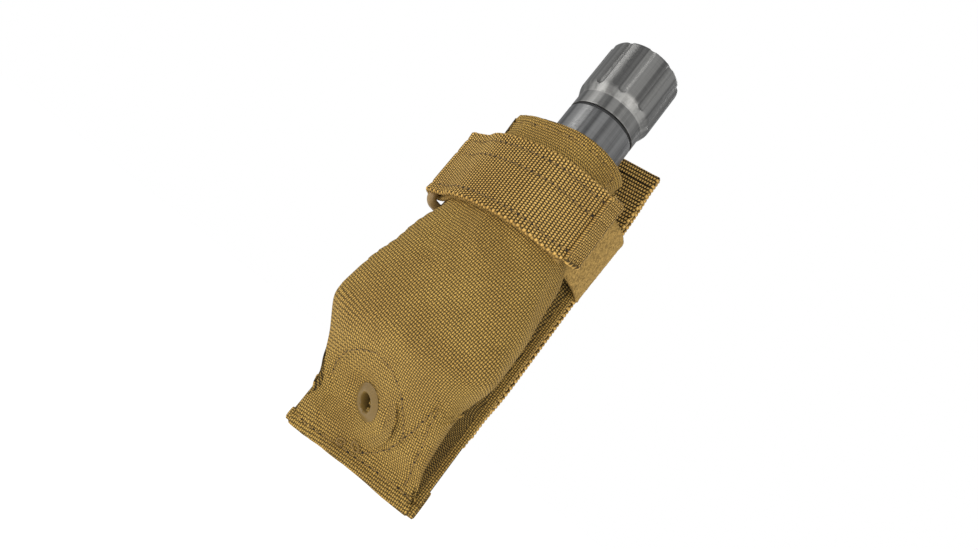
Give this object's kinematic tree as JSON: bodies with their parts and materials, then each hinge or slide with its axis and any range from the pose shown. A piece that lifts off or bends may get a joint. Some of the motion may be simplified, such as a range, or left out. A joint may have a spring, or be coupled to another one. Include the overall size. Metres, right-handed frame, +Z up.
{
  "type": "belt flashlight in pouch",
  "caption": "Slim tactical flashlight carried tail up in a fabric belt pouch: fluted tail cap with a push switch, wrap strap through a ring, belt loop behind.",
  "frame": {"origin": "middle of the belt loop's rear face, the face that the wearer's side rests against", "axes": "+Z up along the light towards its tail cap, -Y out through the front of the pouch, +X to the right as seen from the front"},
  "size_m": [0.0655, 0.044, 0.1667],
  "materials": {
    "webbing": "ribbed nylon webbing, coyote brown",
    "cloth": "plain-weave coated nylon, coyote brown",
    "loop_tape": "brushed loop tape, coyote brown",
    "hook_tape": "hook tape, coyote brown",
    "painted_eyelet": "semi-gloss tan paint",
    "ring_plastic": "moulded tan plastic",
    "anodised": "satin dark grey hard anodising",
    "bare_aluminium": "machined",
    "black_rubber": "matte",
    "lens_glass": "coated, clear",
    "reflector_mirror": "smooth metallised",
    "board": "green circuit board",
    "emitter": "yellow phosphor",
    "spring_steel": "plain",
    "cell_wrap": "printed wrap, no marking",
    "brass_ring": "machined",
    "black_plastic": "moulded"
  },
  "bodies": {
    "pouch": {"back_webbing": "webbing", "belt_loop": "webbing", "back_cloth": "cloth", "bottom_hem": "cloth", "front_panel": "cloth", "gusset_left": "cloth", "gusset_right": "cloth", "grommet": "painted_eyelet", "grommet_washer": "painted_eyelet", "grommet_patch": "cloth", "strap_base": "loop_tape", "strap_ring": "ring_plastic", "ring_keeper": "webbing"},
    "strap_flap": {"strap_flap": "webbing", "hook_tape": "hook_tape"},
    "light": {"body_tube": "anodised", "head_seal": "black_rubber", "tail_seal": "black_rubber", "front_cell": "cell_wrap", "rear_cell": "cell_wrap"},
    "head": {"head_shell": "anodised", "bezel_ring": "anodised", "lens_gasket": "black_rubber", "lens": "lens_glass", "reflector": "reflector_mirror", "led_board": "board", "led_emitter": "emitter", "heat_sink": "bare_aluminium", "driver_board": "board", "driver_spring": "spring_steel"},
    "tail": {"tail_cap": "anodised", "switch_retainer": "brass_ring", "switch_board": "board", "switch_case": "black_plastic", "contact_spring": "spring_steel"},
    "button": {"switch_boot": "black_rubber", "switch_plunger": "black_plastic"}
  },
  "joints": [
    {"name": "light_draw", "type": "slide", "parent": "pouch", "child": "light", "axis": [0, 0, 1], "range_m": [0, 0.125]},
    {"name": "strap_peel", "type": "hinge", "parent": "pouch", "child": "strap_flap", "pos_m": [-0.0318, -0.0216, 0.0143], "axis": [0, 0, -1], "range_deg": [0, 150]},
    {"name": "head_turn", "type": "hinge", "parent": "light", "child": "head", "pos_m": [0.002, -0.0244, -0.015], "axis": [0, 0, 1], "range_deg": [0, 180]},
    {"name": "tail_turn", "type": "hinge", "parent": "light", "child": "tail", "pos_m": [0.002, -0.0244, 0.0524], "axis": [0, 0, 1], "range_deg": [0, 180]},
    {"name": "switch_press", "type": "slide", "parent": "tail", "child": "button", "axis": [0, 0, -1], "range_m": [0, 0.0015], "stiffness_N_per_m": 1500}
  ]
}
